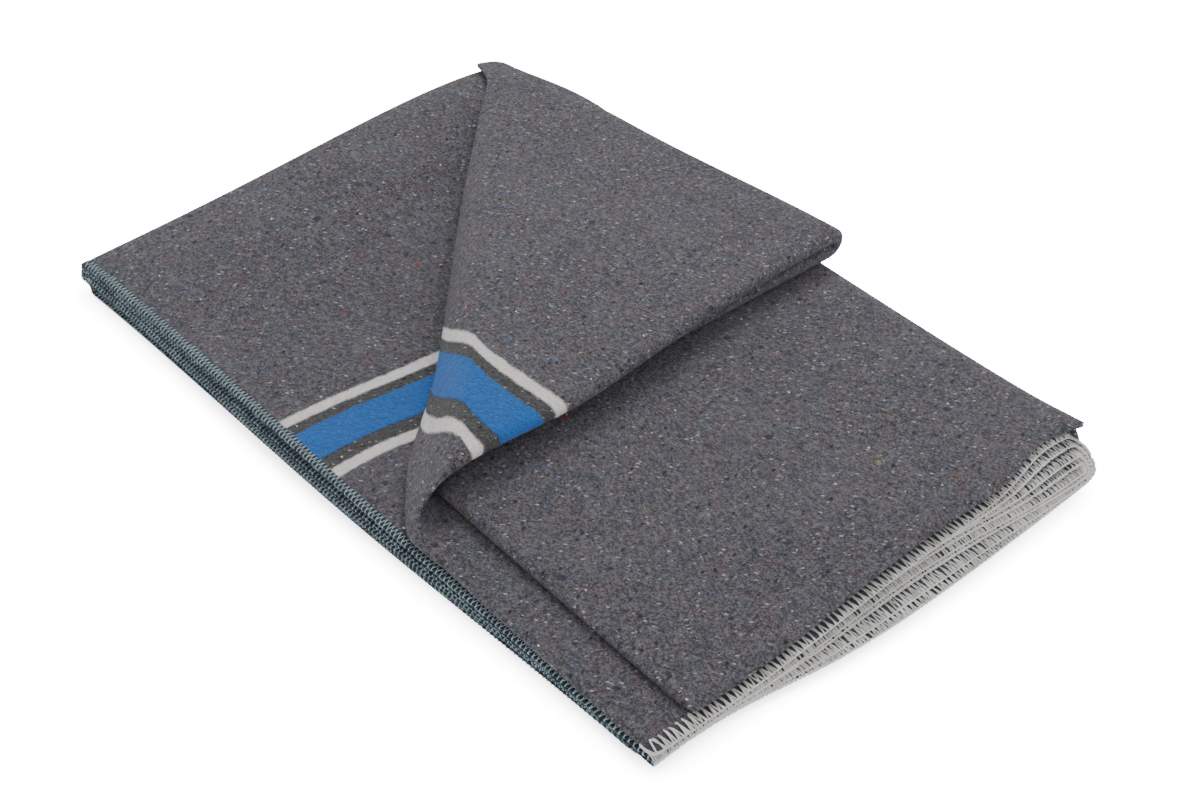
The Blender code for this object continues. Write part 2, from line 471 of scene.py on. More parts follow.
    def place_over(self, points: np.ndarray, heights: np.ndarray) -> np.ndarray:
        """Takes points over the flat sheet's middle to their places over the folded sheet.

        Args:
            points: Places on the flat blanket, two numbers each.
            heights: How far each point stands over the sheet's middle.

        Returns:
            The points of the settled pack.
        """
        middle = np.full((len(points), 1), self.sheet / 2.0)
        reach = self.sheet * self.skin_share
        centre = self.place(np.hstack([points, middle]))
        upper = self.place(np.hstack([points, middle + reach]))
        lower = self.place(np.hstack([points, middle - reach]))
        up = upper - lower
        up /= np.maximum(np.linalg.norm(up, axis=1), TINY)[:, None]
        return centre + up * heights[:, None]


class Signal:
    """A socket that takes part in Python expressions; each operator adds a Math node."""

    def __init__(self, graph: "Graph", socket: bpy.types.NodeSocket) -> None:
        """Holds a node graph and one of its output sockets."""
        self.graph = graph
        self.socket = socket

    def _math(self, operation: str, *values: "Signal | float", clamp: bool = False) -> "Signal":
        """Adds a Math node, and keeps its result from 0 to 1 where asked."""
        settings = {"operation": operation, "use_clamp": clamp}
        return self.graph.node("ShaderNodeMath", settings, dict(enumerate(values)))

    def __add__(self, other: "Signal | float") -> "Signal":
        """Adds."""
        return self._math("ADD", self, other)

    __radd__ = __add__

    def __mul__(self, other: "Signal | float") -> "Signal":
        """Multiplies."""
        return self._math("MULTIPLY", self, other)

    __rmul__ = __mul__

    def __sub__(self, other: "Signal | float") -> "Signal":
        """Subtracts."""
        return self._math("SUBTRACT", self, other)

    def __rsub__(self, other: "Signal | float") -> "Signal":
        """Is subtracted."""
        return self._math("SUBTRACT", other, self)

    def __truediv__(self, other: "Signal | float") -> "Signal":
        """Divides."""
        return self._math("DIVIDE", self, other)

    def over(self, other: "Signal | float") -> "Signal":
        """Gives 1 where this is greater."""
        return self._math("GREATER_THAN", self, other)

    def least(self, other: "Signal | float") -> "Signal":
        """Gives the lesser of the two."""
        return self._math("MINIMUM", self, other)

    def most(self, other: "Signal | float") -> "Signal":
        """Gives the greater of the two."""
        return self._math("MAXIMUM", self, other)

    def ramp(self, low: float, high: float) -> "Signal":
        """Gives 0 to 1 as this goes from low to high, in either direction."""
        return self._math("MULTIPLY", self - low, 1.0 / (high - low), clamp=True)

    def within(self, low: float, high: float, soft: float) -> "Signal":
        """Gives 1 between two values, easing off towards both over a soft margin."""
        return self.ramp(low, low + soft) * self.ramp(high, high - soft)


class Graph:
    """A material's nodes."""

    def __init__(self, name: str) -> None:
        """Makes a material with a Principled shader.

        Args:
            name: The material's name.
        """
        self.material = bpy.data.materials.new(name)
        self.material.use_nodes = True
        self.tree = self.material.node_tree
        self.shader = self.tree.nodes["Principled BSDF"]

    def _set(self, node: bpy.types.Node, key: "int | str", value: object) -> None:
        """Links or sets one socket of a node.

        Args:
            node: The node.
            key: The socket's name or place.
            value: A link or a plain value.
        """
        socket = node.inputs[key]
        if isinstance(value, Signal):
            self.tree.links.new(value.socket, socket)
        elif isinstance(value, tuple) and socket.type == "RGBA":
            socket.default_value = (*value, 1.0)
        else:
            socket.default_value = value

    def node(self, kind: str, settings: dict, inputs: dict, output: "int | str" = 0) -> Signal:
        """Adds a node.

        Args:
            kind: The node's type.
            settings: Its properties, set first.
            inputs: The values or links of its sockets, by name or place.
            output: The socket that the result is read from.

        Returns:
            The node's output.
        """
        node = self.tree.nodes.new(kind)
        for key, value in settings.items():
            setattr(node, key, value)
        for key, value in inputs.items():
            self._set(node, key, value)
        return Signal(self, node.outputs[output])

    def finish(self, inputs: dict) -> bpy.types.Material:
        """Sets or links the shader's sockets and gives the material.

        Args:
            inputs: The values or links of the sockets, by name.

        Returns:
            The material.
        """
        for key, value in inputs.items():
            self._set(self.shader, key, value)
        return self.material

    def attribute(self, name: str, output: str = "Vector") -> Signal:
        """Reads what the mesh carries."""
        return self.node("ShaderNodeAttribute", {"attribute_name": name}, {}, output)

    def own_space(self) -> Signal:
        """Gives the place in the piece's own space."""
        return self.node("ShaderNodeTexCoord", {}, {}, "Object")

    def scaled(self, vector: Signal, factors: Colour) -> Signal:
        """Multiplies a vector, axis by axis."""
        return self.node("ShaderNodeVectorMath", {"operation": "MULTIPLY"}, {0: vector, 1: factors})

    def moved(self, vector: Signal, offset: "Signal | Colour") -> Signal:
        """Adds to a vector."""
        return self.node("ShaderNodeVectorMath", {"operation": "ADD"}, {0: vector, 1: offset})

    def turned(self, vector: Signal, angle: float) -> Signal:
        """Turns a vector about Z."""
        inputs = {"Vector": vector, "Angle": angle}
        return self.node("ShaderNodeVectorRotate", {"rotation_type": "Z_AXIS"}, inputs)

    def noise(self, vector: Signal, scale: float, detail: float = 2.0, rough: float = 0.5) -> Signal:
        """Adds soft noise of about 0 to 1, with finer octaves and how strong these are."""
        inputs = {"Vector": vector, "Scale": scale, "Detail": detail, "Roughness": rough}
        return self.node("ShaderNodeTexNoise", {"noise_dimensions": "3D"}, inputs, "Fac")

    def warp(self, vector: Signal, scale: float, amount: float) -> Signal:
        """Pushes a vector about with noise, for ragged and wandering shapes.

        Args:
            vector: The vector.
            scale: Features per unit.
            amount: How far it is pushed.

        Returns:
            The vector.
        """
        inputs = {"Vector": vector, "Scale": scale, "Detail": 2.0}
        push = self.node("ShaderNodeTexNoise", {"noise_dimensions": "3D"}, inputs, "Color")
        centred = self.moved(push, (-0.5, -0.5, -0.5))
        return self.moved(vector, self.scaled(centred, (amount, amount, amount)))

    def cells(self, vector: Signal, scale: float) -> tuple[Signal, Signal, Signal]:
        """Adds scattered cells.

        Args:
            vector: Where they are read.
            scale: Cells per unit.

        Returns:
            The distance from the cell's middle in cells, and two random numbers of the cell.
        """
        settings = {"voronoi_dimensions": "3D", "feature": "F1"}
        distance = self.node("ShaderNodeTexVoronoi", settings, {"Vector": vector, "Scale": scale})
        colour = distance.socket.node.outputs["Color"]
        split = self.node("ShaderNodeSeparateColor", {}, {"Color": Signal(self, colour)}, "Red")
        second = Signal(self, split.socket.node.outputs["Green"])
        return distance, split, second

    def axis(self, vector: Signal, name: str) -> Signal:
        """Gives one axis of a vector."""
        return self.node("ShaderNodeSeparateXYZ", {}, {"Vector": vector}, name)

    def mix(self, share: "Signal | float", first: object, second: object) -> Signal:
        """Mixes two colours or their links; the share is how much of the second there is."""
        settings = {"data_type": "RGBA", "blend_type": "MIX"}
        return self.node("ShaderNodeMix", settings, {"Factor": share, 6: first, 7: second}, 2)

    def bump(self, height: Signal, distance: float, strength: float) -> Signal:
        """Turns a height into a normal."""
        inputs = {"Height": height, "Distance": distance, "Strength": strength}
        return self.node("ShaderNodeBump", {}, inputs, "Normal")


@dataclass(frozen=True)
class Cloud:
    """One noise of the felt: its features per millimetre, and the warp that makes them ragged."""

    scale: float
    detail: float
    rough: float
    warp_scale: float = 0.0
    warp_amount: float = 0.0
    shift: Colour = (0.0, 0.0, 0.0)

    def build(self, graph: Graph, place: Signal) -> Signal:
        """Adds the noise to a material.

        Args:
            graph: The material's nodes.
            place: The place in the cloth in millimetres.

        Returns:
            The noise, about 0 to 1.
        """
        if any(self.shift):
            place = graph.moved(place, self.shift)
        if self.warp_amount:
            place = graph.warp(place, self.warp_scale, self.warp_amount)
        return graph.noise(place, self.scale, self.detail, self.rough)


class Mottle(Enum):
    """The noises by which the felt's fibres are mixed, from single hairs to broad clouds."""

    GRAIN = Cloud(0.85, 3.0, 0.70, 1.1, 0.5)
    TUFTS = Cloud(0.42, 3.0, 0.65, 0.45, 1.2)
    CLUMPS = Cloud(0.16, 3.0, 0.55, 0.12, 4.0)
    HUE = Cloud(0.10, 3.0, 0.60, shift=(400.0, 90.0, 0.0))
    BROAD = Cloud(0.018, 3.0, 0.50)


@dataclass(frozen=True)
class Tint:
    """One colour laid over the felt where a noise goes from low to high."""

    noise: Mottle
    low: float
    high: float
    strength: float
    colour: Colour


@dataclass(frozen=True)
class Band:
    """One dyed band across the blanket, by its distance from the short end in millimetres."""

    start: float
    stop: float
    colour: Colour
    mottle: Colour
    lift: float


@dataclass(frozen=True)
class Fleck:
    """Scattered short fibres of one colour, in millimetres."""

    colour: Colour
    spacing: float
    radius: float
    share: float
    shift: float
    slenderness: float
    angle: float


@dataclass(frozen=True)
class FeltFinish:
    """Grey felt of mixed fibres with dyed bands; the pattern is laid out in millimetres.

    The fibres are scattered through the cloth's own space, so that no crease stretches them. The
    bands and the painted shade under the sewn rims are measured on the flat blanket.
    """

    ground: Colour = (0.066, 0.062, 0.075)
    pale: Colour = (0.196, 0.188, 0.212)
    dark: Colour = (0.012, 0.012, 0.017)
    warm: Colour = (0.094, 0.058, 0.070)
    cool: Colour = (0.042, 0.052, 0.088)
    gap: Colour = (0.088, 0.094, 0.076)
    tints: tuple[Tint, ...] = (
        Tint(Mottle.CLUMPS, 0.48, 0.34, 0.50, dark),
        Tint(Mottle.CLUMPS, 0.52, 0.66, 0.34, pale),
        Tint(Mottle.HUE, 0.52, 0.62, 0.80, warm),
        Tint(Mottle.HUE, 0.46, 0.36, 0.80, cool),
        Tint(Mottle.TUFTS, 0.50, 0.66, 0.66, pale),
        Tint(Mottle.TUFTS, 0.49, 0.34, 0.82, dark),
        Tint(Mottle.GRAIN, 0.50, 0.66, 0.75, pale),
        Tint(Mottle.GRAIN, 0.48, 0.34, 0.80, dark),
        Tint(Mottle.BROAD, 0.45, 0.65, 0.10, pale),
    )
    # Painted shade on the felt under the stitches: near the short ends and along the long sides.
    painted_end_shade: Colour = (0.040, 0.050, 0.062)
    end_shade_depth: float = 7.5
    end_shade_soft: float = 2.0
    end_shade_share: float = 0.8
    painted_side_shade: Colour = (0.010, 0.018, 0.030)
    side_shade_depth: float = 4.6
    side_shade_soft: float = 1.0
    bands: tuple[Band, ...] = (
        Band(238.0, 248.0, (0.95, 0.90, 0.88), (0.60, 0.56, 0.55), 1.0),
        Band(256.7, 284.3, (0.000, 0.145, 0.540), (0.000, 0.062, 0.250), 0.4),
        Band(290.5, 300.2, (0.95, 0.90, 0.88), (0.60, 0.56, 0.55), 1.0),
    )
    flecks: tuple[Fleck, ...] = (
        Fleck((0.84, 0.84, 0.84), 6.0, 0.46, 0.20, 0.0, 1.3, 0.4),
        Fleck((0.46, 0.46, 0.49), 2.6, 0.38, 0.40, 31.0, 2.2, -0.7),
        Fleck((0.38, 0.38, 0.40), 2.2, 0.34, 0.40, 47.0, 2.4, 1.9),
        Fleck((0.005, 0.005, 0.010), 3.8, 0.72, 0.40, 57.0, 1.8, 1.2),
        Fleck((0.014, 0.020, 0.048), 10.0, 1.50, 0.35, 83.0, 1.3, 2.1),
        Fleck((0.26, 0.036, 0.044), 16.0, 1.10, 0.34, 11.0, 1.8, 0.9),
        Fleck((0.04, 0.12, 0.28), 16.0, 0.90, 0.35, 23.0, 1.8, -0.3),
        Fleck((0.22, 0.27, 0.09), 22.0, 1.00, 0.40, 71.0, 1.6, 0.1),
    )
    fleck_slant: float = 1.7
    fleck_warp: Pair = (0.35, 1.2)
    fleck_soft: Pair = (0.6, 1.3)
    fleck_smallest: float = 0.45
    fleck_hidden_by_dye: float = 0.85
    edge_cloud: Cloud = Cloud(0.16, 4.0, 0.62)
    edge_wander: float = 2.6
    ragged_cloud: Cloud = Cloud(0.8, 3.0, 0.75)
    edge_ragged: float = 3.4
    edge_soft: float = 1.5
    gap_soft: float = 1.0
    gap_share: float = 0.8
    gap_grain: Pair = (0.35, 0.70)
    worn_tufts: Pair = (0.60, 0.30)
    worn_grain: Pair = (0.58, 0.30)
    worn_by_tufts: float = 0.45
    worn_by_grain: float = 0.5
    pile: tuple[tuple[Mottle, float], ...] = (
        (Mottle.GRAIN, 0.6),
        (Mottle.TUFTS, 0.9),
        (Mottle.CLUMPS, 0.7),
    )
    pile_lift: float = 1.1
    pile_depth: float = 0.0018
    roughness: float = 0.95
    sheen: float = 0.18
    sheen_roughness: float = 0.6
    gloss: float = 0.2

    def fleck_mask(self, graph: Graph, place: Signal, fleck: Fleck) -> Signal:
        """Gives where one kind of fleck shows.

        Args:
            graph: The material's nodes.
            place: The place in the cloth in millimetres.
            fleck: The kind of fleck.

        Returns:
            A mask from 0 to 1.
        """
        shift = (fleck.shift, fleck.shift * self.fleck_slant, 0.0)
        aside = graph.turned(graph.moved(place, shift), fleck.angle)
        long = graph.scaled(graph.warp(aside, *self.fleck_warp), (1.0 / fleck.slenderness, 1.0, 1.0))
        distance, chance, size = graph.cells(long, 1.0 / fleck.spacing)
        reach = (size + self.fleck_smallest) * (fleck.radius / fleck.spacing)
        return (1.0 - (distance / reach).ramp(*self.fleck_soft)) * chance.over(1.0 - fleck.share)

    def mottle(self, graph: Graph, clouds: dict[Mottle, Signal]) -> Signal | Colour:
        """Gives the grey of the fibres, from clumps and hues down to single hairs.

        Args:
            graph: The material's nodes.
            clouds: The felt's noises.

        Returns:
            The colour.
        """
        colour = self.ground
        for tint in self.tints:
            share = clouds[tint.noise].ramp(tint.low, tint.high) * tint.strength
            colour = graph.mix(share, colour, tint.colour)
        return colour

    def from_edge(self, graph: Graph, flat: Signal, axis: str, size: float) -> Signal:
        """Gives the distance from the nearer of two opposite cut edges, in millimetres."""
        place = graph.axis(flat, axis)
        return place.least(size * MILLIMETRES - place)

    def dye(
        self, graph: Graph, flat: Signal, clouds: dict[Mottle, Signal], cloth: Signal
    ) -> tuple[Signal, Signal, Signal]:
        """Lays the bands and the darker felt between them over the cloth.

        Args:
            graph: The material's nodes.
            flat: The place on the flat blanket in millimetres.
            clouds: The felt's noises.
            cloth: The colour so far.

        Returns:
            The colour, how far the dyed felt stands up, and where there is dye.
        """
        grain, tufts = clouds[Mottle.GRAIN], clouds[Mottle.TUFTS]
        wander = (self.edge_cloud.build(graph, flat) - 0.5) * self.edge_wander
        ragged = (self.ragged_cloud.build(graph, flat) - 0.5) * self.edge_ragged
        from_end = self.from_edge(graph, flat, "X", Folding.length) + wander + ragged
        stripe = from_end.within(self.bands[0].start, self.bands[-1].stop, self.gap_soft)
        between = graph.mix(grain.ramp(*self.gap_grain), self.dark, self.gap)
        cloth = graph.mix(stripe * self.gap_share, cloth, between)
        worn = tufts.ramp(*self.worn_tufts) * self.worn_by_tufts
        worn = worn + grain.ramp(*self.worn_grain) * self.worn_by_grain
        lift = covered = 0.0
        for band in self.bands:
            mask = from_end.within(band.start, band.stop, self.edge_soft)
            cloth = graph.mix(mask, cloth, graph.mix(worn, band.colour, band.mottle))
            lift = mask * band.lift + lift
            covered = mask.most(covered)
        return cloth, lift, covered

    def rim_shade(self, graph: Graph, flat: Signal, cloth: Signal) -> Signal:
        """Darkens the felt that lies under the sewing with painted shade, as between the stitches.

        Args:
            graph: The material's nodes.
            flat: The place on the flat blanket in millimetres.
            cloth: The colour so far.

        Returns:
            The colour.
        """
        from_end = self.from_edge(graph, flat, "X", Folding.length)
        from_side = self.from_edge(graph, flat, "Y", Folding.width)
        end = from_end.ramp(self.end_shade_depth, self.end_shade_depth - self.end_shade_soft)
        side = from_side.ramp(self.side_shade_depth, self.side_shade_depth - self.side_shade_soft)
        # Painted shade, deepest at the cut edges.
        cloth = graph.mix(end * self.end_shade_share, cloth, self.painted_end_shade)
        return graph.mix(side, cloth, self.painted_side_shade)

    def build(self) -> bpy.types.Material:
        """Makes the material.

        Returns:
            The material.
        """
        graph = Graph("grey_felt_cloth")
        in_millimetres = (MILLIMETRES, MILLIMETRES, MILLIMETRES)
        place = graph.scaled(graph.own_space(), in_millimetres)
        flat = graph.scaled(graph.attribute(FLAT), in_millimetres)
        clouds = {noise: noise.value.build(graph, place) for noise in Mottle}
        cloth, lift, covered = self.dye(graph, flat, clouds, self.mottle(graph, clouds))
        for fleck in self.flecks:
            mask = self.fleck_mask(graph, place, fleck) * (1.0 - covered * self.fleck_hidden_by_dye)
            cloth = graph.mix(mask, cloth, fleck.colour)

        pile = sum((clouds[noise] * share for noise, share in self.pile), lift * self.pile_lift)
        return graph.finish(
            {
                "Base Color": self.rim_shade(graph, flat, cloth),
                "Roughness": self.roughness,
                "Sheen Weight": self.sheen,
                "Sheen Roughness": self.sheen_roughness,
                "Specular IOR Level": self.gloss,
                "Normal": graph.bump(pile, self.pile_depth, 1.0),
            }
        )


@dataclass(frozen=True)
class ThreadFinish:
    """Sewing thread, each strand darkened by a random share of painted shade (on the long sides'
    chain partly a darker thread), and a little fluffy.
    """

    name: str
    colour: Colour
    # Dark colour the strands are drawn towards: painted shade, and partly the sides' darker chain
    # thread.
    shade: Colour
    fluff_scale: float = 1400.0
    fluff_detail: Pair = (2.0, 0.7)
    fluff_ramp: Pair = (0.62, 0.35)
    fluff_shade: float = 0.25
    fluff_depth: float = 0.0005
    fluff_strength: float = 0.8
    dirt_scale: float = 45.0
    dirt_ramp: Pair = (0.60, 0.40)
    dirt_shade: float = 0.15
    roughness: float = 0.85
    sheen: float = 0.1
    gloss: float = 0.2

    def build(self) -> bpy.types.Material:
        """Makes the material.

        Returns:
            The material.
        """
        graph = Graph(self.name)
        place = graph.own_space()
        fluff = graph.noise(place, self.fluff_scale, *self.fluff_detail)
        dirt = graph.noise(place, self.dirt_scale)
        # Each strand's painted shade, with darker fluff and dirt on top.
        share = graph.attribute(STRAND_SHADE_AND_TONE, "Fac") + fluff.ramp(*self.fluff_ramp) * self.fluff_shade
        share = share + dirt.ramp(*self.dirt_ramp) * self.dirt_shade
        return graph.finish(
            {
                "Base Color": graph.mix(share.least(1.0), self.colour, self.shade),
                "Roughness": self.roughness,
                "Specular IOR Level": self.gloss,
                "Sheen Weight": self.sheen,
                "Normal": graph.bump(fluff, self.fluff_depth, self.fluff_strength),
            }
        )


@dataclass
class FeltSheet:
    """The blanket's one sheet of felt."""

    folding: Folding
    cell: float = 0.0105
    half_steps: tuple[int, ...] = (5, 8, 10, 14)
    corner_steps: int = 14
    corner_cells: float = 1.5
    sharp_angle: float = math.radians(55.0)

    def _grid(self) -> BMesh:
        """Makes the flat sheet's grid.

        Returns:
            The grid, its corner at the origin.
        """
        mesh = bmesh.new()
        across = round(self.folding.width / self.cell)
        along = round(self.folding.length / self.cell)
        bmesh.ops.create_grid(mesh, x_segments=along, y_segments=across, size=0.5)
        size = (self.folding.length, self.folding.width, 1.0)
        bmesh.ops.translate(mesh, verts=mesh.verts, vec=(0.5, 0.5, 0.0))
        bmesh.ops.scale(mesh, verts=mesh.verts, vec=size)
        return mesh

    def _score(self, mesh: BMesh, faces: list, place: Vector, normal: Vector) -> None:
        """Adds edges where a plane crosses some faces.

        Args:
            mesh: The sheet.
            faces: The faces.
            place: A point of the plane.
            normal: The plane's normal.
        """
        edges = {edge for face in faces for edge in face.edges}
        verts = {vert for face in faces for vert in face.verts}
        geometry = [*verts, *edges, *faces]
        bmesh.ops.bisect_plane(mesh, geom=geometry, dist=SNAP, plane_co=place, plane_no=normal)

    def _score_halves(self, mesh: BMesh) -> None:
        """Adds the edges that the four folds in half bend at, on the flat sheet.

        Args:
            mesh: The flat sheet.
        """
        sizes = (self.folding.length, self.folding.width)
        for order, (fold, steps) in enumerate(zip(self.folding.halves(), self.half_steps)):
            axis = 0 if fold.toward[0] else 1
            normal = Vector((1.0 - axis, axis, 0.0))
            for step in range(steps + 1):
                place = (fold.line + fold.arc * step / steps) * fold.toward[axis]
                self._score(mesh, mesh.faces[:], normal * place, normal)
                if order > 1:
                    self._score(mesh, mesh.faces[:], normal * (sizes[axis] - place), normal)

    def _score_corner(self, mesh: BMesh, turned: object) -> None:
        """Adds the edges that the turned corner bends at, on the square pack.

        Args:
            mesh: The folded sheet.
            turned: The layer that says how far each point went over.
        """
        corner = self.folding.corner()
        normal = Vector((*corner.toward, 0.0))
        reach = self.cell * self.corner_cells
        for step in range(self.corner_steps + 1):
            offset = corner.line + corner.arc * step / self.corner_steps
            near = [
                face
                for face in mesh.faces
                if all(vert[turned] > 0.0 for vert in face.verts)
                and abs(face.calc_center_median().dot(normal) - offset) < reach
            ]
            self._score(mesh, near, normal * offset, normal)

    def build(self, finish: bpy.types.Material) -> bpy.types.Object:
        """Makes the folded sheet.

        Args:
            finish: The felt's material.

        Returns:
            The finished piece.
        """
        mesh = self._grid()
        self._score_halves(mesh)
        shell = bmesh.ops.extrude_face_region(mesh, geom=mesh.faces[:], use_keep_orig=True)
        raised = [item for item in shell["geom"] if isinstance(item, bmesh.types.BMVert)]
        bmesh.ops.translate(mesh, verts=raised, vec=(0.0, 0.0, self.folding.sheet))
        bmesh.ops.recalc_face_normals(mesh, faces=mesh.faces[:])
        flat = mesh.verts.layers.float_vector.new(FLAT)
        turned = mesh.verts.layers.float.new(TURNED)
        for vert in mesh.verts:
            vert[flat] = vert.co
        thinned = self.folding.pinch(self._points(mesh))
        points, shares = self.folding.fold_square(thinned)
        self._put(mesh, points)
        for vert, share in zip(mesh.verts, shares):
            vert[turned] = share
        self._score_corner(mesh, turned)
        shares = np.array([vert[turned] for vert in mesh.verts])
        points = self._points(mesh)
        stretches = self.folding.stretch(points, shares)
        for vert, stretch in zip(mesh.verts, stretches):
            near_half = vert[flat].x < self.folding.length / 2.0
            vert[flat].x += stretch if near_half else -stretch
        points = self.folding.fold_corner(points, shares)
        self.folding.measure(points)
        self._put(mesh, self.folding.settle(points))
        mesh.verts.layers.float.remove(turned)
        data = bpy.data.meshes.new("felt_sheet")
        mesh.to_mesh(data)
        mesh.free()
        data.shade_smooth()
        data.set_sharp_from_angle(angle=self.sharp_angle)
        data.materials.append(finish)
        return added("felt_sheet", data)

    def _points(self, mesh: BMesh) -> np.ndarray:
        """Gives the mesh's points as an array."""
        return np.array([vert.co[:] for vert in mesh.verts])

    def _put(self, mesh: BMesh, points: np.ndarray) -> None:
        """Moves the mesh's points."""
        for vert, point in zip(mesh.verts, points):
            vert.co = point


@dataclass(frozen=True)
class Seam:
    """The sewing of one kind of edge: stitch sizes, and how much painted shade each kind of strand
    gets.

    A shade is a low and a high share of painted shade: 0 is the thread's own colour, 1 its dark one.
    """

    pitch: float
    depth: float
    spread: float
    thread: float
    legs: int
    wander: float
    leg_shade: Pair
    rim_shade: Pair
    missing: float = 0.0


@dataclass
class Overlock:
    """The thread sewn over one cut edge: slanting legs over both faces, and a chain at the rim.

    How far the thread stands over the face and the rim, and out past the rim, is told in shares of
    its own thickness. Its loose depth is the share by which the legs are unevenly deep.
    """

    folding: Folding
    edge: Edge
    seam: Seam
    seed: int
    over_face: float = 0.25
    over_rim: float = 0.35
    past_rim: float = 0.6
    chain_past_rim: float = 0.75
    rim_inset: float = 0.0002
    loose_depth: float = 0.07

    @property
    def rim(self) -> float:
        """Gives half the thickness of the sheet at its drawn-in edge."""
        return self.folding.sheet * 0.5 * self.folding.rim_share

    def _leg(self, side: float) -> list[Triple]:
        """Gives one leg's points: along the edge, in from it, and over the sheet's middle.

        Args:
            side: The leg's slant, from -1 to 1.

        Returns:
            The points, from the upper face to the lower.
        """
        seam = self.seam
        face = self.folding.sheet * 0.5 + seam.thread * self.over_face
        rim = self.rim + seam.thread * self.over_rim
        out = -seam.thread * self.past_rim
        half = seam.spread * side
        upper = [
            # Sunk into the felt, up on its face, halfway, over the rim and round it.
            (-half * 0.1, seam.depth, face * 0.6),
            (half * 0.1, seam.depth * 0.86, face + seam.thread * 0.15),
            (half * 0.5, seam.depth * 0.42, (face + rim) / 2.0 + seam.thread * 0.2),
            (half, self.rim_inset, rim),
            (half, out, rim * 0.45),
        ]
        lower = [(along, inward, -over) for along, inward, over in reversed(upper)]
        return upper + lower

    def _chain(self) -> list[Triple]:
        """Gives the link along the rim to the next stitch.

        Returns:
            The points, as a leg's.
        """
        pitch = self.seam.pitch
        out = -self.seam.thread * self.chain_past_rim
        return [
            (-pitch * 0.5, out * 0.8, self.rim),
            (-pitch * 0.2, out * 1.3, self.rim * 0.5),
            (pitch * 0.2, out * 1.3, self.rim * 0.9),
            (pitch * 0.5, out * 0.8, self.rim),
        ]

    def _flat_places(self, template: np.ndarray, starts: np.ndarray, loose: np.ndarray) -> np.ndarray:
        """Lays a strand's places out along the edge.

        Args:
            template: Distances along and in from the edge.
            starts: Each stitch's place along the edge.
            loose: How each stitch is off its place, along the edge and in depth.

        Returns:
            Places on the flat blanket, stitch by stitch.
        """
        along = starts[:, None] + template[None, :, 0] + loose[:, :1]
        inward = template[None, :, 1] * (1.0 + loose[:, 1:])
        across_size = self.folding.length if self.edge.is_end else self.folding.width
        if self.edge.is_far:
            inward = across_size - inward
        pair = (inward, along) if self.edge.is_end else (along, inward)
        return np.stack(pair, axis=-1).reshape(-1, 2)

    def _strands(self) -> list[tuple[np.ndarray, int, np.ndarray]]:
        """Gives every strand's placed points, how many points one has, and each one's painted shade.

        Returns:
            The three, kind by kind.
        """
        seam = self.seam
        random = np.random.default_rng(self.seed)
        run = self.folding.width if self.edge.is_end else self.folding.length
        count = round(run / seam.pitch)
        starts = (np.arange(count) + 0.5) * run / count
        sides = np.linspace(-1.0, 1.0, seam.legs)
        kinds = [(self._leg(side), seam.leg_shade, True) for side in sides]
        kinds.append((self._chain(), seam.rim_shade, False))
        strands = []
        for kind, shade, loose in kinds:
            template = np.array(kind)
            off = random.normal(0.0, 1.0, (count, 2)) * (seam.wander, self.loose_depth) * loose
            kept = random.random(count) >= seam.missing * loose
            places = self._flat_places(template, starts[kept], off[kept])
            heights = np.tile(template[:, 2], int(kept.sum()))
            # A random share of painted shade for each strand.
            strand_shades_and_tones = random.uniform(*shade, int(kept.sum()))
            strands.append((self.folding.place_over(places, heights), len(kind), strand_shades_and_tones))
        return strands

    def build(self, finish: bpy.types.Material) -> bpy.types.Object:
        """Makes the stitches of the edge as one piece.

        Args:
            finish: The thread's material.

        Returns:
            The finished piece.
        """
        name = f"overlock_{self.edge.value}"
        curve = bpy.data.curves.new(name, "CURVE")
        curve.dimensions = "3D"
        curve.bevel_depth = self.seam.thread / 2.0
        curve.bevel_resolution = 0
        curve.use_fill_caps = False
        strand_shades_and_tones = []
        for points, size, shades in self._strands():
            for start, shade in zip(range(0, len(points), size), shades):
                spline = curve.splines.new("POLY")
                spline.points.add(size - 1)
                strand_shades_and_tones.append(np.full(size, shade))
                for point, place in zip(spline.points, points[start : start + size]):
                    point.co = (*place, 1.0)
        holder = bpy.data.objects.new(name, curve)
        data = bpy.data.meshes.new_from_object(holder)
        data.name = name
        bpy.data.objects.remove(holder)
        bpy.data.curves.remove(curve)
        strand_shades_and_tones = np.concatenate(strand_shades_and_tones)
        sides = len(data.vertices) // len(strand_shades_and_tones)
        # Each strand's share of painted shade goes on all of its points.
        strand_shade_and_tone = data.attributes.new(STRAND_SHADE_AND_TONE, "FLOAT", "POINT")
        strand_shade_and_tone.data.foreach_set("value", np.repeat(strand_shades_and_tones, sides))
        data.shade_smooth()
        data.materials.clear()
        data.materials.append(finish)
        return added(name, data)


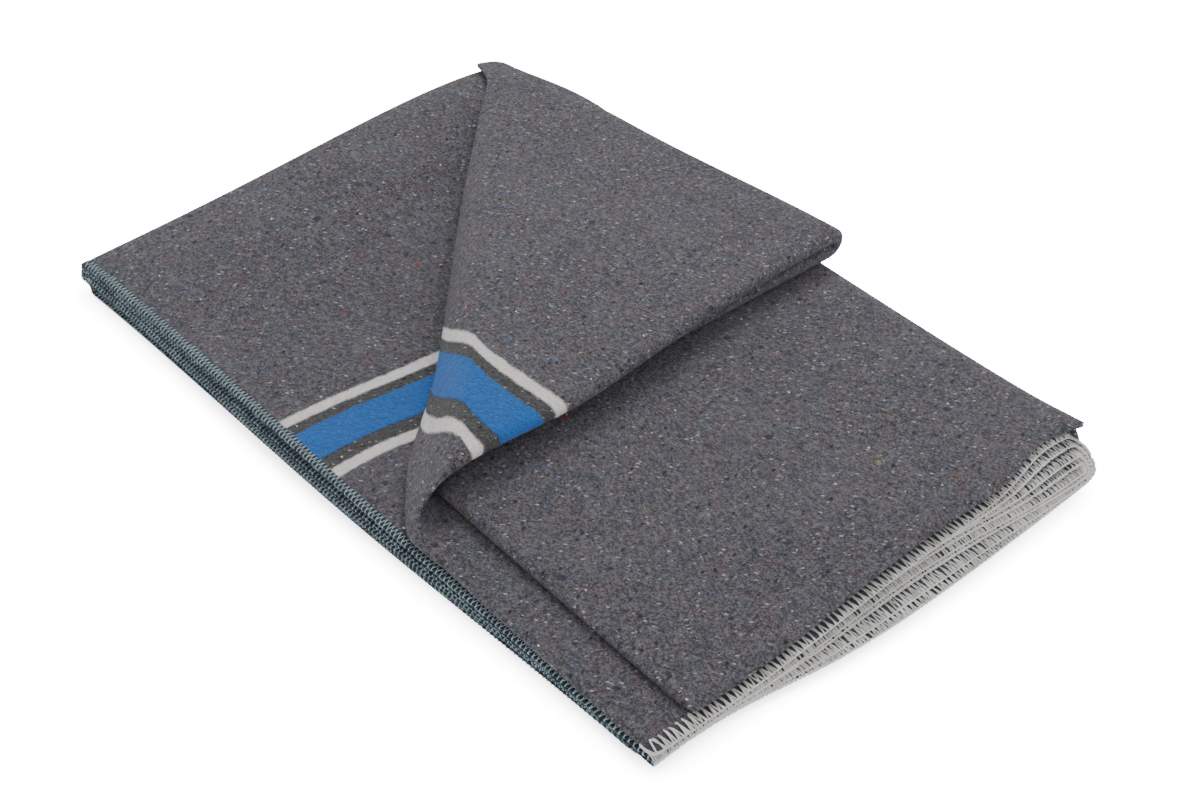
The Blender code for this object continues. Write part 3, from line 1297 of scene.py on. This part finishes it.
@dataclass
class Blanket:
    """The whole dressed blanket."""

    folding: Folding = field(default_factory=Folding)
    felt: FeltFinish = field(default_factory=FeltFinish)
    # The dark colours are painted shade between the threads; on the long sides partly the chain's
    # darker thread.
    end_thread: ThreadFinish = ThreadFinish(
        "white_thread", (1.0, 0.985, 0.95), (0.46, 0.44, 0.42)
    )
    side_thread: ThreadFinish = ThreadFinish(
        "pale_blue_thread", (0.56, 0.72, 0.80), (0.012, 0.024, 0.036)
    )
    # Leg and rim shares of painted shade; the long sides' rim chain is partly its darker thread.
    end_seam: Seam = Seam(0.0036, 0.0070, 0.0012, 0.00105, 3, 0.0003, (0.0, 0.42), (0.0, 0.22), 0.05)
    side_seam: Seam = Seam(0.0030, 0.0042, 0.0014, 0.00062, 2, 0.00012, (0.0, 0.25), (0.40, 0.95))

    def stitches(self) -> list[tuple[Overlock, ThreadFinish]]:
        """Gives the sewing of the four edges with its thread.

        Returns:
            Each edge's sewing and finish.
        """
        rows = []
        for seed, edge in enumerate(Edge):
            seam = self.end_seam if edge.is_end else self.side_seam
            thread = self.end_thread if edge.is_end else self.side_thread
            rows.append((Overlock(self.folding, edge, seam, seed), thread))
        return rows

    def build(self) -> list[bpy.types.Object]:
        """Makes and declares every piece.

        Returns:
            The pieces, the cloth first.
        """
        cloth = FeltSheet(self.folding).build(self.felt.build())
        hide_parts("blanket")
        finishes = {}
        sewing = []
        for sewn, thread in self.stitches():
            if thread.name not in finishes:
                finishes[thread.name] = thread.build()
            sewing.append(sewn.build(finishes[thread.name]))
        for piece in [cloth, *sewing]:
            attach(piece, "root")
            LOG.info("%s: %d faces", piece.name, len(piece.data.polygons))
        return [cloth, *sewing]


@dataclass(frozen=True)
class Lamp:
    """One soft light."""

    name: str
    place: Triple
    size: float
    power: float

    def build(self) -> bpy.types.Object:
        """Makes the light, turned to the blanket.

        Returns:
            The light.
        """
        data = bpy.data.lights.new(self.name, "AREA")
        data.shape = "DISK"
        data.size = self.size
        data.energy = self.power
        lamp = added(self.name, data)
        lamp.location = self.place
        lamp.rotation_euler = (-Vector(self.place)).to_track_quat("-Z", "Y").to_euler()
        return lamp


@dataclass(frozen=True)
class Studio:
    """A white sweep, soft light and the camera."""

    lens: float = 58.47
    sensor: float = 36.0
    azimuth: float = math.radians(-44.05)
    elevation: float = math.radians(35.26)
    distance: float = 1.1294
    target: Triple = (0.0196, 0.0032, 0.0)
    roll: float = math.radians(4.11)
    floor_size: float = 12.0
    floor_colour: Colour = (0.80, 0.80, 0.80)
    floor_roughness: float = 0.9
    floor_seen: Colour = (1.0, 1.0, 1.0)
    painted_floor_shadow: Colour = (0.16, 0.16, 0.16)
    floor_unseen: Colour = (0.03, 0.03, 0.03)
    floor_glow: float = 18.0
    shadow_reach: float = 0.02
    shadow_ramp: Pair = (0.35, 0.95)
    room_glow: float = 0.75
    lamps: tuple[Lamp, ...] = (
        Lamp("key_light", (-0.7, 0.9, 1.9), 1.2, 24.0),
        Lamp("fill_light", (1.6, -1.4, 1.2), 2.2, 7.0),
    )

    def floor(self) -> bpy.types.Object:
        """Makes the white floor, glowing evenly, with a faint painted shadow near the blanket.

        Returns:
            The staged floor.
        """
        mesh = bmesh.new()
        bmesh.ops.create_grid(mesh, x_segments=1, y_segments=1, size=self.floor_size / 2.0)
        data = bpy.data.meshes.new("floor")
        mesh.to_mesh(data)
        mesh.free()
        graph = Graph("white_sweep")
        seen = graph.node("ShaderNodeLightPath", {}, {}, "Is Camera Ray")
        reach = {"Distance": self.shadow_reach}
        # Painted shadow: ambient occlusion darkens the floor's glow where the blanket is near.
        open_air = graph.node("ShaderNodeAmbientOcclusion", {"samples": 8}, reach, "AO")
        glow = graph.mix(open_air.ramp(*self.shadow_ramp), self.painted_floor_shadow, self.floor_seen)
        inputs = {
            "Base Color": self.floor_colour,
            "Roughness": self.floor_roughness,
            "Emission Color": graph.mix(seen, self.floor_unseen, glow),
            "Emission Strength": self.floor_glow,
        }
        data.materials.append(graph.finish(inputs))
        floor = added("floor", data)
        return floor

    def camera(self) -> bpy.types.Object:
        """Makes the camera that matches the photograph.

        Returns:
            The camera.
        """
        data = bpy.data.cameras.new("camera")
        data.lens = self.lens
        data.sensor_width = self.sensor
        level = math.cos(self.elevation)
        ahead, aside = math.cos(self.azimuth), math.sin(self.azimuth)
        back = Vector((level * ahead, level * aside, math.sin(self.elevation)))
        camera = added("camera", data)
        turn = (-back).to_track_quat("-Z", "Y").to_matrix().to_4x4()
        turn = turn @ Matrix.Rotation(self.roll, 4, "Z")
        camera.matrix_world = Matrix.Translation(Vector(self.target) + back * self.distance) @ turn
        bpy.context.scene.camera = camera
        return camera

    def build(self) -> None:
        """Makes the surroundings."""
        self.camera()
        self.floor()
        for lamp in self.lamps:
            lamp.build()
        world = bpy.data.worlds.new("white_room")
        world.use_nodes = True
        background = world.node_tree.nodes["Background"]
        background.inputs["Color"].default_value = (1.0, 1.0, 1.0, 1.0)
        background.inputs["Strength"].default_value = self.room_glow
        bpy.context.scene.world = world


def main() -> None:
    """Builds the blanket and its studio, and notes each blanket piece's face count."""
    logging.basicConfig(level=logging.INFO)
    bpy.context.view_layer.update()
    Blanket().build()
    Studio().build()


if __name__ == "__main__":
    main()
